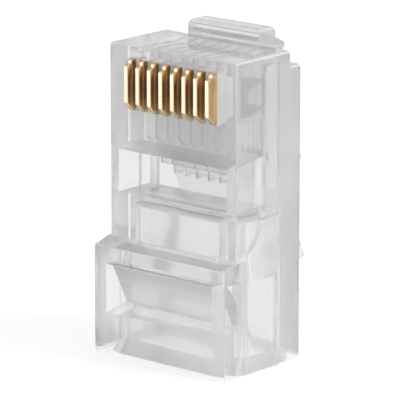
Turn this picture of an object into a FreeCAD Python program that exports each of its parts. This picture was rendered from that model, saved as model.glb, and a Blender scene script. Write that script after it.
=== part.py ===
"""Eight-contact modular plug, uncrimped, in clear polycarbonate.

The plug stands on its cable end. X runs across it, Y from the contact side (-Y) to the latch side (+Y),
and Z from the cable end up to the nose. The origin is the middle of the cable end. Sizes are millimetres.
"""

import FreeCAD, Part
import math
import os

from FreeCAD import Vector

same = 1e-6               # lengths closer than this count as the same

# Outside of the housing
body_length = 21.46       # cable end to nose end face
body_depth = 8.11         # rear section, contact side to latch side
cheek_width = 11.68       # over the two raised cheeks
rear_width = 11.64        # over the rear section, a hair inside the cheeks
nose_width = 11.24        # over the nose and the strips behind the cheeks
nose_setback = 1.42       # nose face behind the rear section's face
rear_height = 8.00        # cable end to the step below the nose
step_fall = 0.40          # how much the step drops towards its front edge
end_shelf_depth = 1.11    # lower shelf of the end face, on the latch side
end_shelf_drop = 1.06     # how far that shelf lies below the end face
rear_top_round = 0.12     # rear section's front top edge
end_round = 0.30          # side edges of the end face and of its shelf
edge_round = 0.15         # small edges of the moulding
rear_corner_round = 0.06  # upright front edges of the rear section

# Cheeks: front edge, arc and back edge as distances from the contact side
cheek_nose_front = 4.15
cheek_rear_front = 2.00
cheek_back = 5.52
cheek_arc_top = 11.80
cheek_top_gap = 0.55      # cheek's end below the nose end face
cheek_toe_height = 1.60
cheek_toe_reach = 0.75
cheek_cove = 0.55         # width of the sloped facet at the arc's foot

# Contacts
contact_count = 8
contact_pitch = 1.02
contact_thickness = 0.35
contact_stand = 0.66      # exposed edge proud of the nose face before crimping
contact_depth = 4.24      # exposed edge to the tips of the tines
contact_end_gap = 0.93    # blades' top below the nose end face
contact_height = 3.51
shoulder_depth = 1.40     # tall part of the blade, from its exposed edge
shank_foot_step = 0.32    # how much higher the shank's foot is than the tall part's
shank_head_step = 0.49
foot_slope_depth = 0.60   # exposed edge's slope back to the blade's foot
head_bump_setback = 0.40  # small bump at the blade's head, behind the exposed edge
head_bump_drop = 0.12
head_edge_drop = 0.42     # top of the exposed edge below the blade's head
tine_length = 1.38
slot_clearance = 0.02
slot_mouth = 0.74         # slot's width at the face, for the jack's wires
slot_mouth_depth = 0.95
crimp_travel = 1.30       # how far crimping drives a blade in

# Wire channels and the passage below them
channel_wall = 0.14
channel_depth = 1.15
channel_front = 3.66      # channel's front wall behind the nose face
bridge_depth = 0.28       # bridge across the channels' front walls, just above the conductor window
bridge_height = 0.50
pocket_round = 0.32       # lower corners of the channels above the bridge
rib_lift = 0.80           # foot of the ribs above the conductor window's sill
channel_end_gap = 0.50    # solid left above the channels' deep side
channel_end_slope = 0.95  # how much lower the channels end on their contact side
channel_end_round = 0.40  # rounding along both sides of that sloped end

# Conductor window in the nose face
window_side = 0.72        # window past the outermost channels, each side
window_low = 11.20
window_height = 2.95
window_depth = 3.20
window_roof_rise = 0.48
window_floor = 0.60       # thickness of the ledge between the window and the cable cavity
clamp_bar_thickness = 0.42
clamp_bar_lift = 1.60     # foot of the conductor clamp bar above the window's sill
clamp_bar_side_gap = 0.18
clamp_bar_relief = 0.10   # free space behind the bar

# Cable cavity
cavity_width = 9.50
cavity_front_wall = 2.10
cavity_back_wall = 1.10
cavity_round = 1.40
neck_side = 0.07          # upper cavity past the outermost channels, each side
neck_front_wall = 1.25    # wall between the nose face and the upper cavity
neck_taper = 1.80         # height over which the cavity narrows
neck_round = 0.80
neck_roof_round = 0.60
entry_flare = 0.55
entry_flare_height = 1.10

# Cable clamp tongue in the rear window
clamp_window_low = 3.02
clamp_window_rise = 0.34  # how much the window's floor rises inwards
clamp_window_roof = 1.60  # wall between the window and the step
tongue_side_gap = 0.30
tongue_end_gap = 0.38
tongue_recess = 0.30
tongue_thickness = 0.70
tongue_reach = 1.50       # how far the tongue's tip leans in from its root
tongue_belly = 0.34       # how far its inner face swells out

# Latch and its root arch
root_width = 6.20
latch_width = 6.00        # lever, down to its locking shoulders
lever_width = 3.25        # lever, from there to its tip
root_depth = 2.36
root_front_step = 0.38    # arch's front before the step of the end face
root_rise = 1.12          # top of the root arch above the nose end face
root_step_depth = 0.95
root_step_drop = 0.75
root_round = 0.40
root_embed = 0.90         # how far the arch reaches down inside the nose
hinge_standoff = 0.84     # hinge axis behind the housing's latch side
hinge_drop = 0.61         # hinge axis below the nose end face
hinge_radius = 0.36
hinge_clearance = 0.03
latch_angle = 14.3        # lever's lean away from the housing at rest
shoulder_reach = 8.30     # hinge axis to the locking shoulders, along the lever
shoulder_thickness = 1.06
shoulder_toe = 0.80       # length of the thick part above the shoulders
lever_reach = 16.30       # hinge axis to the tip
lever_thickness = 0.86
tip_flare = 0.32
tip_length = 1.10
grip_lift = 3.02          # lowest grip rib above the tip
grip_ribs = 3
grip_rib_pitch = 0.62

# Places that follow from the sizes
front_y = -body_depth / 2
back_y = body_depth / 2
nose_y = front_y + nose_setback
shelf_y = back_y - end_shelf_depth
shelf_z = body_length - end_shelf_drop
contact_y = nose_y - contact_stand
contact_high = body_length - contact_end_gap
contact_low = contact_high - contact_height
shank_low = contact_low + shank_foot_step
shank_high = contact_high - shank_head_step
channel_y = nose_y + channel_front
channel_back_y = channel_y + channel_depth
channel_span = contact_count * contact_pitch
channel_low = window_low + rib_lift
channel_end = body_length - channel_end_gap
window_width = channel_span + 2 * window_side
window_back_y = nose_y + window_depth
window_high = window_low + window_height
pocket_low = window_high + bridge_height
clamp_bar_y = window_back_y + clamp_bar_thickness
ledge_low = window_low - window_floor
cavity_y = front_y + cavity_front_wall
cavity_back_y = back_y - cavity_back_wall
cavity_top = rear_height - neck_taper
neck_width = channel_span + 2 * neck_side
neck_y = nose_y + neck_front_wall
clamp_window_high = rear_height - clamp_window_roof
root_top = body_length + root_rise
hinge_height = body_length - hinge_drop
hinge = Vector(0, back_y + hinge_standoff, hinge_height)


def block(x0, x1, y0, y1, z0, z1):
    """Box between two corners."""
    return Part.makeBox(x1 - x0, y1 - y0, z1 - z0, Vector(x0, y0, z0))


def side_plate(points, width, centre=0.0):
    """Plate of a given width across X, from its outline in Y and Z."""
    corners = [Vector(centre - width / 2, y, z) for y, z in points]
    face = Part.Face(Part.makePolygon(corners + corners[:1]))
    return face.extrude(Vector(width, 0, 0))


def plan_rectangle(width, y0, y1, radius, z):
    """Rounded rectangle in a level plane, as a closed wire."""
    half = width / 2
    turn = 90
    corners = [(half, y0, -turn), (half, y1, 0), (-half, y1, turn), (-half, y0, 2 * turn)]
    arcs = []
    for x, y, start in corners:
        centre = Vector(x - math.copysign(radius, x), y + (radius if y == y0 else -radius), z)
        arcs.append(Part.makeCircle(radius, centre, Vector(0, 0, 1), start, start + turn))
    edges = []
    for arc, following in zip(arcs, arcs[1:] + arcs[:1]):
        edges.append(arc)
        edges.append(Part.makeLine(arc.Vertexes[-1].Point, following.Vertexes[0].Point))
    return Part.Wire(Part.__sortEdges__(edges))


def well(width, y0, y1, radius, z0, z1):
    """Upright well with rounded corners."""
    face = Part.Face(plan_rectangle(width, y0, y1, radius, z0))
    return face.extrude(Vector(0, 0, z1 - z0))


def edges_along(shape, axis, wanted):
    """Straight edges that run along an axis and whose middle passes a test."""
    found = []
    for edge in shape.Edges:
        if edge.Curve.TypeId != "Part::GeomLine":
            continue
        direction = edge.tangentAt(edge.FirstParameter)
        if abs(abs(direction[axis]) - 1) < same and wanted(edge.CenterOfMass):
            found.append(edge)
    return found


def rim(shape, y):
    """Edges of the nose in one plane across Y, apart from those at the cable end and at the shelf's foot."""
    found = []
    for edge in shape.Edges:
        middle = edge.CenterOfMass
        level = abs(edge.Vertexes[0].Z - edge.Vertexes[-1].Z) < same
        foot = level and (middle.z < edge_round or (y == shelf_y and middle.z < shelf_z + edge_round))
        upright_inside = y == shelf_y and not level and middle.z < body_length - end_round
        if all(abs(v.Y - y) < same for v in edge.Vertexes) and not foot and not upright_inside:
            found.append(edge)
    return found


def contact_x(index):
    """Middle of a contact across the plug."""
    return (index - (contact_count - 1) / 2) * contact_pitch


def nose_body():
    """Nose and core: full length, with the lower shelf at the end face."""
    outline = [
        (nose_y, 0),
        (back_y, 0),
        (back_y, shelf_z),
        (shelf_y, shelf_z),
        (shelf_y, body_length),
        (nose_y, body_length),
    ]
    body = side_plate(outline, nose_width)
    body = body.makeFillet(end_round, edges_along(body, 1, lambda m: m.z > edge_round))
    rims = rim(body, nose_y) + rim(body, back_y) + rim(body, shelf_y)
    return body.makeFillet(edge_round, rims)


def rear_section():
    """Thicker block at the cable end, with its rounded front top edge."""
    step_back = front_y + cheek_back
    outline = [
        (front_y, 0),
        (step_back, 0),
        (step_back, rear_height),
        (nose_y, rear_height),
        (front_y, rear_height - step_fall),
    ]
    rear = side_plate(outline, rear_width)
    top_front = edges_along(rear, 0, lambda m: m.y < nose_y - edge_round and m.z > step_fall)
    rear = rear.makeFillet(rear_top_round, top_front)
    corners = edges_along(rear, 2, lambda m: m.y < nose_y)
    return rear.makeFillet(rear_corner_round, corners)


def cheek_outline(x, cove):
    """Outline of a cheek in one plane across X: straight, with a hollow arc down to the rear section."""
    nose_edge = front_y + cheek_nose_front
    rear_edge = front_y + cheek_rear_front - cove
    back_edge = front_y + cheek_back
    top = body_length - cheek_top_gap
    drop = nose_edge - rear_edge
    fall = cheek_arc_top - rear_height
    radius = (drop ** 2 + fall ** 2) / (2 * drop)
    middle_angle = math.atan2(fall, radius - drop) / 2
    middle = Vector(
        x,
        nose_edge - radius + radius * math.cos(middle_angle),
        cheek_arc_top - radius * math.sin(middle_angle),
    )
    path = [
        Vector(x, rear_edge, rear_height),
        Vector(x, rear_edge, cheek_toe_height),
        Vector(x, rear_edge - cheek_toe_reach, 0),
        Vector(x, back_edge, 0),
        Vector(x, back_edge, top),
        Vector(x, nose_edge, top),
        Vector(x, nose_edge, cheek_arc_top),
    ]
    edges = [Part.makeLine(a, b) for a, b in zip(path, path[1:])]
    edges.append(Part.Arc(path[-1], middle, path[0]).toShape())
    return Part.Wire(edges)


def cheeks():
    """Both raised cheeks: a plate right across the plug, with a facet along each arc."""
    core = Part.Face(cheek_outline(-nose_width / 2, cheek_cove))
    plates = [core.extrude(Vector(nose_width, 0, 0))]
    for side in (-1, 1):
        foot = cheek_outline(side * nose_width / 2, cheek_cove)
        crest = cheek_outline(side * cheek_width / 2, 0)
        plates.append(Part.makeLoft([foot, crest], True, True))
    return plates[0].fuse(plates[1:]).removeSplitter()


def root_arch():
    """Root of the latch: a stepped block over the end of the nose, with a socket for the hinge."""
    front = shelf_y - root_front_step
    back = shelf_y + root_depth
    ledge = back - root_step_depth
    foot = hinge_height + hinge_radius / 3
    outline = [
        (front, shelf_z - root_embed),
        (back_y, shelf_z - root_embed),
        (back_y, foot),
        (back, foot),
        (back, root_top - root_step_drop - root_step_depth / 2),
        (ledge, root_top - root_step_drop),
        (ledge, root_top),
        (front, root_top),
    ]
    arch = side_plate(outline, root_width)
    crown = edges_along(arch, 0, lambda m: m.z > root_top - same)
    crown += edges_along(arch, 1, lambda m: m.z > root_top - same)
    arch = arch.makeFillet(root_round, crown)
    socket = Part.makeCylinder(
        hinge_radius + hinge_clearance,
        root_width,
        hinge - Vector(root_width / 2, 0, 0),
        Vector(1, 0, 0),
    )
    return arch.cut(socket)


def blade_outline():
    """Outline of a contact in Y and Z: exposed edge, shoulders, shank and two tines."""
    front = contact_y
    bump_y = front + head_bump_setback
    shoulder_y = front + shoulder_depth
    tip_y = front + contact_depth
    tine_y = tip_y - tine_length
    tine_height = (shank_high - shank_low) / 3
    return [
        (front, contact_low + foot_slope_depth),
        (front + foot_slope_depth, contact_low),
        (shoulder_y, contact_low),
        (shoulder_y + shank_foot_step, shank_low),
        (tip_y - tine_length / 3, shank_low),
        (tip_y, shank_low + tine_height / 2),
        (tine_y, shank_low + tine_height),
        (tine_y, shank_high - tine_height),
        (tip_y, shank_high - 2 * tine_height / 3),
        (tine_y + tine_length / 2, shank_high - tine_height / 6),
        (tine_y, shank_high),
        (shoulder_y + shank_head_step, shank_high),
        (shoulder_y, contact_high),
        (bump_y + head_bump_drop, contact_high),
        (bump_y, contact_high - head_bump_drop),
        (bump_y, contact_high - head_edge_drop + head_bump_drop),
        (front, contact_high - head_edge_drop),
    ]


def contact(index):
    """One stamped blade, with its exposed edge rounded."""
    blade = side_plate(blade_outline(), contact_thickness, contact_x(index))
    nose_edges = edges_along(blade, 2, lambda m: m.y < contact_y + same)
    return blade.makeFillet(contact_thickness / 4, nose_edges)


def contact_slot(index):
    """Room for one blade: a wide mouth, a close slot and the way into its wire channel."""
    middle = contact_x(index)
    close = contact_thickness / 2 + slot_clearance
    low = contact_low - slot_clearance
    high = contact_high + slot_clearance
    foot = shank_low - slot_clearance
    head = shank_high + slot_clearance
    mouth_end = nose_y + slot_mouth_depth
    shoulder_end = contact_y + shoulder_depth + shank_foot_step + crimp_travel
    half = slot_mouth / 2
    mouth = block(middle - half, middle + half, contact_y, mouth_end, low, high)
    shoulders = block(middle - close, middle + close, contact_y, shoulder_end, low, high)
    shank = block(middle - close, middle + close, contact_y, channel_back_y, foot, head)
    return [mouth, shoulders, shank]


def wire_channel(index):
    """One channel for a wire: a foot, a throat behind the bridge, then up to a sloped blind end."""
    width = contact_pitch - channel_wall
    middle = contact_x(index)
    left = middle - width / 2
    right = middle + width / 2
    outline = [
        (channel_y, pocket_low),
        (channel_back_y, pocket_low),
        (channel_back_y, channel_end),
        (channel_y, channel_end - channel_end_slope),
    ]
    channel = side_plate(outline, width, middle)
    sides = [e for e in channel.Edges if abs(e.Vertexes[0].Z - e.Vertexes[-1].Z) > same]
    sides = [e for e in sides if abs(e.Vertexes[0].Y - e.Vertexes[-1].Y) > same]
    channel = channel.makeFillet(channel_end_round, sides)
    corners = edges_along(channel, 1, lambda m: m.z < pocket_low + same)
    channel = channel.makeFillet(pocket_round, corners)
    throat_top = pocket_low + 2 * pocket_round
    throat = block(left, right, channel_y + bridge_depth, channel_back_y, window_high, throat_top)
    foot = block(left, right, channel_y, channel_back_y, channel_low, window_high)
    return channel.fuse([throat, foot])


def wire_passage():
    """Open way for all the wires, from the cable cavity up to the ribs."""
    outline = [
        (window_back_y, ledge_low - neck_roof_round),
        (cavity_back_y, ledge_low - neck_roof_round),
        (channel_back_y, channel_low),
        (window_back_y, channel_low),
    ]
    return side_plate(outline, channel_span - channel_wall)


def conductor_window():
    """Window in the nose face, with a roof that rises inwards."""
    outline = [
        (nose_y - contact_stand, window_low),
        (window_back_y, window_low),
        (window_back_y, window_high + window_roof_rise),
        (nose_y, window_high),
        (nose_y - contact_stand, window_high),
    ]
    return side_plate(outline, window_width)


def clamp_bar_cuts():
    """Cuts that free the conductor clamp bar below, at its two ends and behind."""
    half = (channel_span - channel_wall) / 2
    inner = half - clamp_bar_side_gap
    relief_y = clamp_bar_y + clamp_bar_relief
    foot = block(-half, half, window_back_y, relief_y, channel_low, window_low + clamp_bar_lift)
    behind = block(-half, half, clamp_bar_y, relief_y, channel_low, window_high)
    ends = []
    for low, high in ((-half, -inner), (inner, half)):
        ends.append(block(low, high, window_back_y, relief_y, channel_low, window_high))
    return [foot, behind] + ends


def cable_cavity():
    """Cavity for the cable's jacket: flared entry, wide part, neck."""
    flare_outer = plan_rectangle(
        cavity_width + 2 * entry_flare,
        cavity_y - entry_flare,
        cavity_back_y + entry_flare,
        cavity_round,
        0,
    )
    flare_inner = plan_rectangle(cavity_width, cavity_y, cavity_back_y, cavity_round, entry_flare_height)
    flare = Part.makeLoft([flare_outer, flare_inner], True)
    wide = well(cavity_width, cavity_y, cavity_back_y, cavity_round, entry_flare_height, cavity_top)
    taper_low = plan_rectangle(cavity_width, cavity_y, cavity_back_y, cavity_round, cavity_top)
    taper_high = plan_rectangle(neck_width, neck_y, cavity_back_y, neck_round, rear_height)
    taper = Part.makeLoft([taper_low, taper_high], True)
    neck = well(neck_width, neck_y, cavity_back_y, neck_round, rear_height, ledge_low)
    top_edges = [e for e in neck.Edges if min(v.Z for v in e.Vertexes) > ledge_low - same]
    neck = neck.makeFillet(neck_roof_round, top_edges)
    return [flare, wide, taper, neck]


def clamp_window():
    """Window through the rear section's face, over the clamp tongue."""
    inner_y = cavity_y + edge_round
    outline = [
        (front_y, clamp_window_low),
        (inner_y, clamp_window_low + clamp_window_rise),
        (inner_y, clamp_window_high),
        (front_y, clamp_window_high),
    ]
    return side_plate(outline, cavity_width)


def clamp_tongue():
    """Tongue that crimping folds onto the cable, hung from the window's upper edge."""
    root_y = front_y + tongue_recess
    tip_y = root_y + tongue_reach
    tip_z = clamp_window_low + tongue_end_gap
    lift = (clamp_window_roof - step_fall) / 2
    width = cavity_width - 2 * tongue_side_gap
    outer_top = Vector(-width / 2, root_y, clamp_window_high + lift)
    outer_root = Vector(-width / 2, root_y, clamp_window_high)
    outer_tip = Vector(-width / 2, tip_y, tip_z)
    inner_tip = Vector(-width / 2, tip_y + tongue_thickness, tip_z + edge_round)
    inner_root = Vector(-width / 2, root_y + tongue_thickness, clamp_window_high)
    inner_top = inner_root + Vector(0, 0, lift)
    belly = (inner_tip + inner_root) / 2 + Vector(0, tongue_belly, 0)
    edges = [
        Part.makeLine(outer_top, outer_root),
        Part.makeLine(outer_root, outer_tip),
        Part.makeLine(outer_tip, inner_tip),
        Part.Arc(inner_tip, belly, inner_root).toShape(),
        Part.makeLine(inner_root, inner_top),
        Part.makeLine(inner_top, outer_top),
    ]
    return Part.Face(Part.Wire(edges)).extrude(Vector(width, 0, 0))


def housing():
    """The one moulding that holds everything but the lever and the blades."""
    outside = nose_body().fuse([rear_section(), cheeks(), root_arch()])
    outside = outside.removeSplitter()
    cuts = [conductor_window(), wire_passage(), clamp_window()]
    cuts += cable_cavity()
    cuts += clamp_bar_cuts()
    for index in range(contact_count):
        cuts += contact_slot(index)
        cuts.append(wire_channel(index))
    body = outside.cut(cuts)
    body = body.fuse(clamp_tongue())
    return body.removeSplitter()


def lever_outline():
    """Lever's outline in Y and Z as if it hung straight down, hinge axis at the origin."""
    outer = hinge_radius
    shoulder_inner = outer - shoulder_thickness
    lever_inner = outer - lever_thickness
    tip_z = -lever_reach
    rib_low = tip_z + tip_length
    outline = [
        (outer, 0),
        (-hinge_radius, 0),
        (-hinge_radius, -shoulder_reach / 2),
        (shoulder_inner, -shoulder_reach + shoulder_toe),
        (shoulder_inner, -shoulder_reach),
        (lever_inner, -shoulder_reach),
        (lever_inner, rib_low),
        (lever_inner + tip_flare, tip_z),
        (outer + tip_flare, tip_z),
        (outer, rib_low),
    ]
    return outline


def latch():
    """Locking lever: wide to its two locking shoulders, then narrow to the tip."""
    lever = side_plate(lever_outline(), latch_width)
    side = (latch_width - lever_width) / 2
    for sign in (-1, 1):
        middle = sign * (latch_width - side) / 2
        trim = block(
            middle - side / 2,
            middle + side / 2,
            -2 * shoulder_thickness,
            2 * shoulder_thickness,
            -lever_reach - tip_length,
            -shoulder_reach,
        )
        lever = lever.cut(trim)
    tip_corners = edges_along(lever, 1, lambda m: m.z < -lever_reach + edge_round)
    lever = lever.makeFillet(3 * edge_round, tip_corners)
    root = Part.makeCylinder(
        hinge_radius, latch_width, Vector(-latch_width / 2, 0, 0), Vector(1, 0, 0)
    )
    lever = lever.fuse(root).removeSplitter()
    for rib in range(grip_ribs):
        z = -lever_reach + grip_lift + rib * grip_rib_pitch
        ridge = Part.makeCylinder(
            edge_round, lever_width - 4 * edge_round,
            Vector(-lever_width / 2 + 2 * edge_round, hinge_radius, z), Vector(1, 0, 0),
        )
        lever = lever.fuse(ridge)
    lever = lever.removeSplitter()
    lever.rotate(Vector(0, 0, 0), Vector(1, 0, 0), latch_angle)
    lever.translate(hinge)
    return lever


def save(shape, node):
    """Check one solid and write it to its own file."""
    solid = shape.Solids[0]
    print(node, "solids", len(shape.Solids), "valid", shape.isValid(), "volume", round(shape.Volume, 3))
    solid.exportStep("parts/" + node + ".step")


os.makedirs("parts", exist_ok=True)
save(housing(), "housing")
save(latch(), "latch")
for number in range(contact_count):
    save(contact(number), "contact_%d" % (number + 1))
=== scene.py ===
# %% [markdown]
# # A clear modular plug
# The thing on the table is the little clear plug that goes on the end of a network cable.
# It has never been crimped: its eight gilt blades still stand proud, and the cable cavity is empty.
# The solids come ready made, so this lesson is about what makes them look real:
# clear plastic that shows its own inside, stamped metal, a white table and soft light.

# %% Load the solids
import math
import bmesh
import bpy
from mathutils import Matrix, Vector


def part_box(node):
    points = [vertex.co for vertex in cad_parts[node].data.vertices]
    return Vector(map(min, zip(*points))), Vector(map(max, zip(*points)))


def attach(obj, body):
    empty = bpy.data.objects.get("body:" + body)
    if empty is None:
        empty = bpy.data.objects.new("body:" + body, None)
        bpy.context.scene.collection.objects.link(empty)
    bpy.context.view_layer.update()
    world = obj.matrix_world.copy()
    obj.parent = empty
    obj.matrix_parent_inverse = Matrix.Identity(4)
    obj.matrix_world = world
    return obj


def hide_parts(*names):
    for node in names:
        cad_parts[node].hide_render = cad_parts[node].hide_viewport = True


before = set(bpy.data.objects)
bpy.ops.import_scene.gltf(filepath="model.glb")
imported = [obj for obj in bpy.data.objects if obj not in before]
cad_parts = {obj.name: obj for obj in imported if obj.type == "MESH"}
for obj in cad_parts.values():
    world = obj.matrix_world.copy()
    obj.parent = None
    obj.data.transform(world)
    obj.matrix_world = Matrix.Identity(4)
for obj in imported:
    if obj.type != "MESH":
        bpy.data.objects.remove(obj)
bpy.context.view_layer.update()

MM = 0.001

# %% [markdown]
# ## Small helpers
# Colours are written as the hex codes that a paint program shows, but Blender mixes light,
# so one function turns a code into linear values.
# A second one adds a shader node, types in its plain values and links the rest.

# %% Helpers
def linear(code):
    """Turn an sRGB hex code into a linear colour with alpha 1."""
    parts = [int(code[at:at + 2], 16) / 255 for at in (1, 3, 5)]
    return [p / 12.92 if p <= 0.04045 else ((p + 0.055) / 1.055) ** 2.4 for p in parts] + [1.0]


def add_node(tree, kind, inputs, **settings):
    """Add one node; a value in inputs is typed in, and a socket is linked."""
    made = tree.nodes.new(kind)
    for name, value in settings.items():
        setattr(made, name, value)
    for name, value in inputs.items():
        if isinstance(value, bpy.types.NodeSocket):
            tree.links.new(value, made.inputs[name])
        else:
            made.inputs[name].default_value = value
    return made


def new_material(name):
    """Start an empty node material and return it with its tree and its output node."""
    material = bpy.data.materials.new(name)
    material.use_nodes = True
    tree = material.node_tree
    tree.nodes.clear()
    return material, tree, tree.nodes.new("ShaderNodeOutputMaterial")


print("mid grey in light:", round(linear("#808080")[0], 3))

# %% [markdown]
# ## Camera
# The plug stands on its cable end and is seen from the contact side, a little from the right
# and from above.
# A long lens from far away keeps its edges almost parallel, as in a product picture.
# A small shift frames the plug without turning the camera.

# %% Camera
CAMERA_AZIMUTH = math.radians(40.856)
CAMERA_HEIGHT = math.radians(13.949)
CAMERA_DISTANCE = 253.31 * MM
CAMERA_TARGET = Vector((0, -0.055, 11)) * MM
LENS_LENGTH = 337.92
LENS_SHIFT = (0.00602, -0.00475)
NEAREST_SEEN = 1 * MM
towards_camera = Vector((
    math.sin(CAMERA_AZIMUTH) * math.cos(CAMERA_HEIGHT),
    -math.cos(CAMERA_AZIMUTH) * math.cos(CAMERA_HEIGHT),
    math.sin(CAMERA_HEIGHT),
))
lens = bpy.data.cameras.new("camera")
lens.lens = LENS_LENGTH
lens.sensor_width = 36
lens.shift_x, lens.shift_y = LENS_SHIFT
lens.clip_start = NEAREST_SEEN
camera = bpy.data.objects.new("camera", lens)
bpy.context.scene.collection.objects.link(camera)
camera.location = CAMERA_TARGET + towards_camera * CAMERA_DISTANCE
camera.rotation_euler = towards_camera.to_track_quat("Z", "Y").to_euler()
bpy.context.scene.camera = camera
print("camera at", [round(v, 4) for v in camera.location])

# %% [markdown]
# ## Clear polycarbonate, moulded
# The housing and the latch are polycarbonate. It bends light a little more than window glass
# (1.585), and its skin is glossy from the polished mould.
# A thin part like this is never as clear as glass, though: flow marks and scuffs scatter part of
# the light at its skin, and the plastic's own faint haze scatters more of it inside,
# so every face turns a soft pale grey and what lies behind it fades.
# The skin's share is a transmission weight a little below 1, which leaves the rest as plain white
# scatter. The haze is a thin Volume Scatter: it hides the far edges and leaves the near ones crisp.
# A slow noise varies the roughness and the tint, as the melt's flow does, and a faint bump bends
# the reflections.
#
# Only the outside of the mould is polished. The steel cores that form the cavity, the windows and
# the channels are spark-eroded, and so is the insert that forms the latch's root, so those faces
# are matt. Two boxes in the plug's own space say where the matt faces lie.
#
# The thick nose cools slowly and clouds a little more than the thin walls below it.
# Rounded edges pass less light, so they scatter more plain white: a painted highlight. They are
# found by their normals, which point along none of the three axes. The tongue's steep slopes count
# too.

# %% Clear polycarbonate: sizes and values
POLYCARBONATE_IOR = 1.585
CLARITY = 0.88
NOSE_CLARITY = 0.78
NOSE_CLEAR_BELOW = 13.6 * MM
NOSE_CLOUDED_ABOVE = 15.2 * MM
PAINTED_HIGHLIGHT_CLARITY = 0.5
ROUND_BELOW, FLAT_ABOVE = 0.90, 0.95  # a normal's largest share along one axis
HAZE_DENSITY = 80.0  # scatterings per metre
HAZE_FORWARD = 0.3
FLOW_WIDTH = 2.4 * MM
SCUFF_WIDTH = 0.25 * MM
FLOW_DEPTH = 0.02 * MM
SCUFF_DEPTH = 0.005 * MM
NOISE_LOW, NOISE_HIGH = 0.3, 0.7  # the middle values that a noise mostly gives
POLISHED_ROUGHNESS = (0.02, 0.05)
MATT_ROUGHNESS = 0.19
BLEND = 0.05 * MM
outside_low, outside_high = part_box("housing")
NOSE_SETBACK = 1.42 * MM
BODY_DEPTH = 8.11 * MM
BODY_LENGTH = 21.46 * MM
ROOT_HALF_WIDTH = 3.3 * MM
SKIN = 0.20 * MM
CORES = (
    (outside_low[0] + 2 * SKIN, outside_low[1] + NOSE_SETBACK + BLEND, SKIN),
    (outside_high[0] - 2 * SKIN, outside_low[1] + BODY_DEPTH - SKIN, BODY_LENGTH - SKIN),
)
ROOT_INSERT = (
    (-ROOT_HALF_WIDTH, 0, BODY_LENGTH + BLEND),
    (ROOT_HALF_WIDTH, outside_high[1] + SKIN, outside_high[2] + SKIN),
)
print("clear:", CLARITY, "in the walls,", NOSE_CLARITY, "in the nose")


# %% Clear polycarbonate: where it is matt, clouded and painted whiter on round edges
def inside_box(tree, place, corners):
    """1 inside a box of the plug's own space, 0 outside, with a narrow blend."""
    axes = add_node(tree, "ShaderNodeSeparateXYZ", {"Vector": place.outputs["Object"]})
    inside = 1.0
    for axis, low, high in zip("XYZ", *corners):
        for edge, beyond in ((low, low - BLEND), (high, high + BLEND)):
            share = add_node(
                tree, "ShaderNodeMapRange",
                {"Value": axes.outputs[axis], "From Min": beyond, "From Max": edge},
            )
            inside = add_node(
                tree, "ShaderNodeMath",
                {0: inside, 1: share.outputs["Result"]},
                operation="MULTIPLY",
            ).outputs[0]
    return inside


def clearness(tree, place):
    """Share of light that passes the skin: less in the clouded nose, and less on round edges as a
    painted highlight.
    """
    axes = add_node(tree, "ShaderNodeSeparateXYZ", {"Vector": place.outputs["Object"]})
    block = add_node(
        tree, "ShaderNodeMapRange",
        {
            "Value": axes.outputs["Z"],
            "From Min": NOSE_CLEAR_BELOW,
            "From Max": NOSE_CLOUDED_ABOVE,
            "To Min": CLARITY,
            "To Max": NOSE_CLARITY,
        },
    )
    facing = add_node(
        tree, "ShaderNodeVectorMath", {0: place.outputs["Normal"]}, operation="ABSOLUTE"
    )
    shares = add_node(tree, "ShaderNodeSeparateXYZ", {"Vector": facing.outputs["Vector"]}).outputs
    greatest = shares["X"]
    for axis in "YZ":
        greatest = add_node(
            tree, "ShaderNodeMath", {0: greatest, 1: shares[axis]}, operation="MAXIMUM"
        ).outputs[0]
    # Round edges and steep slopes pass less light and scatter more white: a painted highlight.
    flat = add_node(
        tree, "ShaderNodeMapRange",
        {
            "Value": greatest,
            "From Min": ROUND_BELOW,
            "From Max": FLAT_ABOVE,
            "To Min": PAINTED_HIGHLIGHT_CLARITY,
            "To Max": 1.0,
        },
    )
    return add_node(
        tree, "ShaderNodeMath",
        {0: block.outputs["Result"], 1: flat.outputs["Result"]},
        operation="MULTIPLY",
    ).outputs[0]


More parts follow.
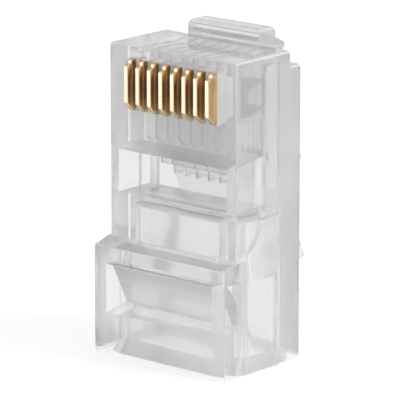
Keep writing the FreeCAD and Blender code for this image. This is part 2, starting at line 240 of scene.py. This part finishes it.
# %% Clear polycarbonate: the material
def clear_polycarbonate(name, tints):
    """Moulded polycarbonate with slow flow marks and fine scuffs."""
    material, tree, output = new_material(name)
    place = add_node(tree, "ShaderNodeTexCoord", {})
    flow = add_node(
        tree, "ShaderNodeTexNoise",
        {"Vector": place.outputs["Object"], "Scale": 1 / FLOW_WIDTH, "Detail": 2.0},
    )
    scuffs = add_node(
        tree, "ShaderNodeTexNoise",
        {"Vector": place.outputs["Object"], "Scale": 1 / SCUFF_WIDTH, "Detail": 3.0},
    )
    polished = add_node(
        tree, "ShaderNodeMapRange",
        {
            "Value": flow.outputs["Fac"],
            "From Min": NOISE_LOW,
            "From Max": NOISE_HIGH,
            "To Min": POLISHED_ROUGHNESS[0],
            "To Max": POLISHED_ROUGHNESS[1],
        },
    )
    matt = add_node(
        tree, "ShaderNodeMath",
        {0: inside_box(tree, place, CORES), 1: inside_box(tree, place, ROOT_INSERT)},
        operation="MAXIMUM",
    )
    rough = add_node(
        tree, "ShaderNodeMix",
        {"Factor": matt.outputs[0], "A": polished.outputs["Result"], "B": MATT_ROUGHNESS},
        data_type="FLOAT",
    )
    colour = add_node(
        tree, "ShaderNodeMix",
        {"Factor": flow.outputs["Fac"], "A": linear(tints[0]), "B": linear(tints[1])},
        data_type="RGBA",
    )
    waves = add_node(
        tree, "ShaderNodeBump",
        {"Height": flow.outputs["Fac"], "Strength": 0.15, "Distance": FLOW_DEPTH},
    )
    skin_relief = add_node(
        tree, "ShaderNodeBump",
        {
            "Height": scuffs.outputs["Fac"],
            "Strength": 0.05,
            "Distance": SCUFF_DEPTH,
            "Normal": waves.outputs["Normal"],
        },
    )
    skin = add_node(
        tree, "ShaderNodeBsdfPrincipled",
        {
            "Base Color": colour.outputs["Result"],
            "Roughness": rough.outputs["Result"],
            "IOR": POLYCARBONATE_IOR,
            "Transmission Weight": clearness(tree, place),
            "Normal": skin_relief.outputs["Normal"],
        },
    )
    haze = add_node(
        tree, "ShaderNodeVolumeScatter",
        {"Color": linear("#ffffff"), "Density": HAZE_DENSITY, "Anisotropy": HAZE_FORWARD},
    )
    tree.links.new(skin.outputs["BSDF"], output.inputs["Surface"])
    tree.links.new(haze.outputs[0], output.inputs["Volume"])
    return material


housing_finish = clear_polycarbonate("polycarbonate_moulded_clear", ("#fafafa", "#ffffff"))
for node in ("housing", "latch"):
    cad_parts[node].data.materials[0] = housing_finish
    print(node, "is now", housing_finish.name)

# %% [markdown]
# ## Gold-plated blades: the metal
# The blades are stamped from thin phosphor bronze strip, plated with nickel all over and then with
# gold where the jack's wires and the housing's slots rub: thick on the exposed edge, whose pale,
# bright colour is a painted highlight, and a thin brownish flash on the sides.
# The shank and tines inside stay nickel grey: pale where the tall part ends, and painted darker
# further in, as painted shade inside the housing.
# The rollers that made the strip leave fine streaks along its length, which here is up and down.

# %% Gold plate
blade_low, blade_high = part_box("contact_1")
EXPOSED_Y = blade_low[1]
GOLD_END = 1.62 * MM
BRIGHT_END = 2.08 * MM
PLATING_BLEND = 0.05 * MM
EDGE_FACING, SIDE_FACING = -0.99, -0.92  # how far a normal points out of the contact side
STREAK_WIDTH = 0.20 * MM  # real rolling streaks are finer and would not show
STREAK_STRETCH = 0.03
STREAK_DEPTH = 0.004 * MM
PLATED_ROUGHNESS = (0.16, 0.28)


def plated_bronze(name):
    """Bronze strip: nickel painted darker further in as shade, a gold flash on its sides, and thick
    gold on the exposed edge painted pale as a highlight.
    """
    material, tree, output = new_material(name)
    place = add_node(tree, "ShaderNodeTexCoord", {})
    stretched = add_node(
        tree, "ShaderNodeMapping",
        {"Vector": place.outputs["Object"], "Scale": (1, 1, STREAK_STRETCH)},
    )
    streaks = add_node(
        tree, "ShaderNodeTexNoise",
        {"Vector": stretched.outputs["Vector"], "Scale": 1 / STREAK_WIDTH, "Detail": 3.0},
    )
    axes = add_node(tree, "ShaderNodeSeparateXYZ", {"Vector": place.outputs["Object"]})
    past_gold, past_bright = [
        add_node(
            tree, "ShaderNodeMapRange",
            {
                "Value": axes.outputs["Y"],
                "From Min": EXPOSED_Y + end - PLATING_BLEND,
                "From Max": EXPOSED_Y + end + PLATING_BLEND,
            },
        )
        for end in (GOLD_END, BRIGHT_END)
    ]
    shape = add_node(tree, "ShaderNodeNewGeometry", {})
    facing = add_node(tree, "ShaderNodeSeparateXYZ", {"Vector": shape.outputs["Normal"]})
    # Faces that point out of the contact side take the pale edge colour below: a painted highlight.
    off_edge = add_node(
        tree, "ShaderNodeMapRange",
        {"Value": facing.outputs["Y"], "From Min": EDGE_FACING, "From Max": SIDE_FACING},
    )
    flash = add_node(
        tree, "ShaderNodeMix",
        {"Factor": streaks.outputs["Fac"], "A": linear("#d2b286"), "B": linear("#eacca2")},
        data_type="RGBA",
    )
    gold = add_node(
        tree, "ShaderNodeMix",
        {
            "Factor": off_edge.outputs["Result"],
            "A": linear("#fff6dc"),
            "B": flash.outputs["Result"],
        },
        data_type="RGBA",
    )
    # Nickel is pale near the tall part and painted darker further in: painted shade inside the
    # housing.
    nickel = add_node(
        tree, "ShaderNodeMix",
        {
            "Factor": past_bright.outputs["Result"],
            "A": linear("#d8d8d8"),
            "B": linear("#6c6c6c"),
        },
        data_type="RGBA",
    )
    plated = add_node(
        tree, "ShaderNodeMix",
        {
            "Factor": past_gold.outputs["Result"],
            "A": gold.outputs["Result"],
            "B": nickel.outputs["Result"],
        },
        data_type="RGBA",
    )
    rough = add_node(
        tree, "ShaderNodeMapRange",
        {
            "Value": streaks.outputs["Fac"],
            "From Min": NOISE_LOW,
            "From Max": NOISE_HIGH,
            "To Min": PLATED_ROUGHNESS[0],
            "To Max": PLATED_ROUGHNESS[1],
        },
    )
    ridges = add_node(
        tree, "ShaderNodeBump",
        {"Height": streaks.outputs["Fac"], "Strength": 0.15, "Distance": STREAK_DEPTH},
    )
    skin = add_node(
        tree, "ShaderNodeBsdfPrincipled",
        {
            "Base Color": plated.outputs["Result"],
            "Metallic": 1.0,
            "Roughness": rough.outputs["Result"],
            "Normal": ridges.outputs["Normal"],
        },
    )
    tree.links.new(skin.outputs["BSDF"], output.inputs["Surface"])
    return material


blade_finish = plated_bronze("phosphor_bronze_stamped_gold_plated")
print(blade_finish.name, "exposed edge at y", round(EXPOSED_Y / MM, 3), "mm")

# %% [markdown]
# ## Gold-plated blades: the shape
# Each blade is a flat stamping: a tall part whose front edge the jack's wire presses on,
# a lower shank, and two tines that crimping drives into a wire. The press leaves its edges faintly
# rounded, and that rounding catches a bright line down each exposed edge, on top of the painted
# highlight.
# So one blade is modelled from a cube, with its back face pushed out step by step, its corners cut,
# and every edge rounded with a Bevel modifier. The other seven are copies, each with its own mesh.

# %% Blade sizes
BLADES = ["contact_%d" % number for number in range(1, 9)]
THICKNESS = blade_high[0] - blade_low[0]
SHOULDER_DEPTH = 1.40 * MM
FOOT_STEP = 0.32 * MM
HEAD_STEP = 0.49 * MM
FOOT_SLOPE = 0.60 * MM
BUMP_SETBACK = 0.40 * MM
BUMP_DROP = 0.12 * MM
EDGE_DROP = 0.42 * MM
TINE_LENGTH = 1.38 * MM
PRESS_ROUND = 0.06 * MM
SAME_POINT = 0.001 * MM
blade_size = [round((high - low) / MM, 2) for low, high in zip(blade_low, blade_high)]
print("blade is", blade_size, "mm")

# %% Helpers for edit mode
def pick(wanted, kind="faces"):
    """In edit mode, select only the faces, edges or points that pass a test."""
    shape = bmesh.from_edit_mesh(bpy.context.object.data)
    for group in (shape.verts, shape.edges, shape.faces):
        for item in group:
            item.select = False
    chosen = [item for item in getattr(shape, kind) if wanted(item)]
    for item in chosen:
        item.select = True
    shape.select_flush_mode()
    bmesh.update_edit_mesh(bpy.context.object.data)
    return len(chosen)


def middle_of(face):
    return face.calc_center_median()


def slice_level(height):
    """Cut the whole shape open along a level line, without parting it."""
    bpy.ops.mesh.select_all(action="SELECT")
    bpy.ops.mesh.bisect(plane_co=(0, 0, height), plane_no=(0, 0, 1))


def push_back(depth, low, high):
    """Extrude the selected back face to a new depth and fit it between two heights."""
    bpy.ops.mesh.extrude_region_move(TRANSFORM_OT_translate={"value": (0, depth, 0)})
    shape = bmesh.from_edit_mesh(bpy.context.object.data)
    heights = [point.co.z for point in shape.verts if point.select]
    middle = (min(heights) + max(heights)) / 2
    stretch = (high - low) / (max(heights) - min(heights))
    bpy.ops.transform.resize(value=(1, 1, stretch), center_override=(0, 0, middle))
    bpy.ops.transform.translate(value=(0, 0, (low + high) / 2 - middle))


# %% One blade
def model_blade(name):
    """Model the first blade in place, from its exposed edge back to its two tines."""
    bpy.ops.object.select_all(action="DESELECT")
    front, back = blade_low[1], blade_low[1] + SHOULDER_DEPTH
    low, high = blade_low[2], blade_high[2]
    tip = blade_high[1]
    tine_root = tip - TINE_LENGTH
    shank_low, shank_high = low + FOOT_STEP, high - HEAD_STEP
    middle = (blade_low[0] + blade_high[0]) / 2
    place = (middle, (front + back) / 2, (low + high) / 2)
    bpy.ops.mesh.primitive_cube_add(size=1, location=place)
    blade = bpy.context.object
    blade.name = name
    blade.scale = (THICKNESS, back - front, high - low)
    bpy.ops.object.transform_apply(location=True, rotation=False, scale=True)
    bpy.ops.object.mode_set(mode="EDIT")

    # The shank, then two tines out of the shank's outer thirds.
    pick(lambda face: middle_of(face).y > back - PRESS_ROUND)
    push_back(FOOT_STEP, shank_low, high - FOOT_STEP)
    push_back(HEAD_STEP - FOOT_STEP, shank_low, shank_high)
    push_back(tine_root - back - HEAD_STEP, shank_low, shank_high)
    third = (shank_high - shank_low) / 3
    slice_level(shank_low + third)
    slice_level(shank_high - third)
    for tine_low, tine_high in ((shank_low, shank_low + third), (shank_high - third, shank_high)):
        pick(
            lambda face: middle_of(face).y > tine_root - PRESS_ROUND
            and abs(face.normal.y) > 0.9
            and tine_low < middle_of(face).z < tine_high
        )
        push_back(TINE_LENGTH, tine_low + third / 3, tine_high - third / 3)

    # The sloped foot of the exposed edge, and the small bump at its head.
    pick(
        lambda edge: all(
            p.co.y < front + PRESS_ROUND and p.co.z < low + PRESS_ROUND for p in edge.verts
        ),
        "edges",
    )
    bpy.ops.mesh.bevel(offset=FOOT_SLOPE, segments=1, affect="EDGES")
    edge_top = high - EDGE_DROP
    slice_level(edge_top)
    slice_level(edge_top + BUMP_DROP)
    pick(
        lambda p: p.co.y < front + PRESS_ROUND and p.co.z > edge_top + BUMP_DROP / 2,
        "verts",
    )
    bpy.ops.transform.translate(value=(0, BUMP_SETBACK, 0))
    pick(
        lambda edge: all(
            p.co.y < front + 2 * BUMP_SETBACK and p.co.z > high - PRESS_ROUND for p in edge.verts
        ),
        "edges",
    )
    bpy.ops.mesh.bevel(offset=BUMP_DROP, segments=1, affect="EDGES")
    bpy.ops.mesh.select_all(action="SELECT")
    bpy.ops.mesh.remove_doubles(threshold=SAME_POINT)
    bpy.ops.mesh.normals_make_consistent(inside=False)
    bpy.ops.object.mode_set(mode="OBJECT")

    rounding = blade.modifiers.new("press_round", "BEVEL")
    rounding.width = PRESS_ROUND
    rounding.segments = 3
    rounding.limit_method = "ANGLE"
    rounding.angle_limit = math.radians(25)
    bpy.ops.object.modifier_apply(modifier=rounding.name)
    bpy.ops.object.shade_smooth_by_angle(angle=math.radians(40))
    blade.data.materials.append(blade_finish)
    return blade


first_blade = model_blade("blade_1")
print("one blade:", len(first_blade.data.polygons), "faces")

# %% Eight blades in a row
for number, node in enumerate(BLADES, start=1):
    if number == 1:
        blade = first_blade
    else:
        bpy.ops.object.select_all(action="DESELECT")
        first_blade.select_set(True)
        bpy.context.view_layer.objects.active = first_blade
        bpy.ops.object.duplicate()
        blade = bpy.context.object
        blade.name = "blade_%d" % number
        blade.location.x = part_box(node)[0][0] - blade_low[0]
        bpy.ops.object.transform_apply(location=True, rotation=False, scale=False)
    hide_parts(node)
    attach(blade, "housing")
    print(blade.name, "stands for", node)

# %% [markdown]
# ## Table, air and lamps
# The plug stands on a white table in a white room. The floor is a real white surface that keeps the
# plug's soft shadow. It glows a little for rays that come from the camera, from gloss and through
# the plastic, so that it reads as clean white without more light falling on the plug.
# The room is white for the same rays, and a calm grey for the light that it sheds.
# Three soft lamps, one to the right and two to the left, model the edges.

# %% White table
FLOOR_SIZE = 1.2
FLOOR_WHITE = "#f0f0f0"
FLOOR_GLOW = 0.45


def seen_directly(tree):
    """1 for rays from the camera, off gloss or through plastic, 0 for light falling on things."""
    path = add_node(tree, "ShaderNodeLightPath", {})
    total = add_node(
        tree, "ShaderNodeMath",
        {0: path.outputs["Is Camera Ray"], 1: path.outputs["Is Glossy Ray"]},
        operation="ADD",
    )
    return add_node(
        tree, "ShaderNodeMath",
        {0: total.outputs[0], 1: path.outputs["Is Transmission Ray"]},
        operation="ADD", use_clamp=True,
    ).outputs[0]


bpy.ops.object.select_all(action="DESELECT")
bpy.ops.mesh.primitive_plane_add(size=FLOOR_SIZE, location=(0, 0, 0))
floor = bpy.context.object
floor.name = "floor"
paper, tree, output = new_material("table_paper_white")
sheet = add_node(tree, "ShaderNodeBsdfDiffuse", {"Color": linear(FLOOR_WHITE)})
strength = add_node(
    tree, "ShaderNodeMath", {0: seen_directly(tree), 1: FLOOR_GLOW}, operation="MULTIPLY"
)
glow = add_node(
    tree, "ShaderNodeEmission",
    {"Color": linear("#ffffff"), "Strength": strength.outputs[0]},
)
lit_sheet = add_node(tree, "ShaderNodeAddShader", {0: sheet.outputs[0], 1: glow.outputs[0]})
tree.links.new(lit_sheet.outputs[0], output.inputs["Surface"])
floor.data.materials.append(paper)
print("floor:", FLOOR_SIZE, "m across")

# %% White room
ROOM_LIGHT = "#c8c8c8"
world = bpy.data.worlds.new("studio")
bpy.context.scene.world = world
world.use_nodes = True
tree = world.node_tree
tree.nodes.clear()
shade = add_node(
    tree, "ShaderNodeMix",
    {"Factor": seen_directly(tree), "A": linear(ROOM_LIGHT), "B": linear("#ffffff")},
    data_type="RGBA",
)
air = add_node(tree, "ShaderNodeBackground", {"Color": shade.outputs["Result"], "Strength": 1.0})
output = tree.nodes.new("ShaderNodeOutputWorld")
tree.links.new(air.outputs[0], output.inputs["Surface"])
print("room light:", ROOM_LIGHT)


# %% Soft lamps
def soft_lamp(name, size, place, power):
    """A square lamp that looks at the plug."""
    light = bpy.data.lights.new(name, "AREA")
    light.size = size
    light.energy = power
    lamp = bpy.data.objects.new(name, light)
    bpy.context.scene.collection.objects.link(lamp)
    lamp.location = place
    lamp.rotation_euler = (Vector(place) - CAMERA_TARGET).to_track_quat("Z", "Y").to_euler()
    print(name, size, "m,", power, "W")


soft_lamp("lamp_left", 0.10, (-0.16, -0.14, 0.22), 0.03)
soft_lamp("lamp_right", 0.10, (0.20, 0.08, 0.16), 0.26)
soft_lamp("lamp_low", 0.12, (-0.15, -0.17, 0.065), 0.03)

# %% Picture settings
scene = bpy.context.scene
scene.view_settings.view_transform = "Standard"
scene.cycles.max_bounces = 32
scene.cycles.transmission_bounces = 32
scene.cycles.glossy_bounces = 16
scene.cycles.volume_bounces = 6
print("view transform:", scene.view_settings.view_transform)
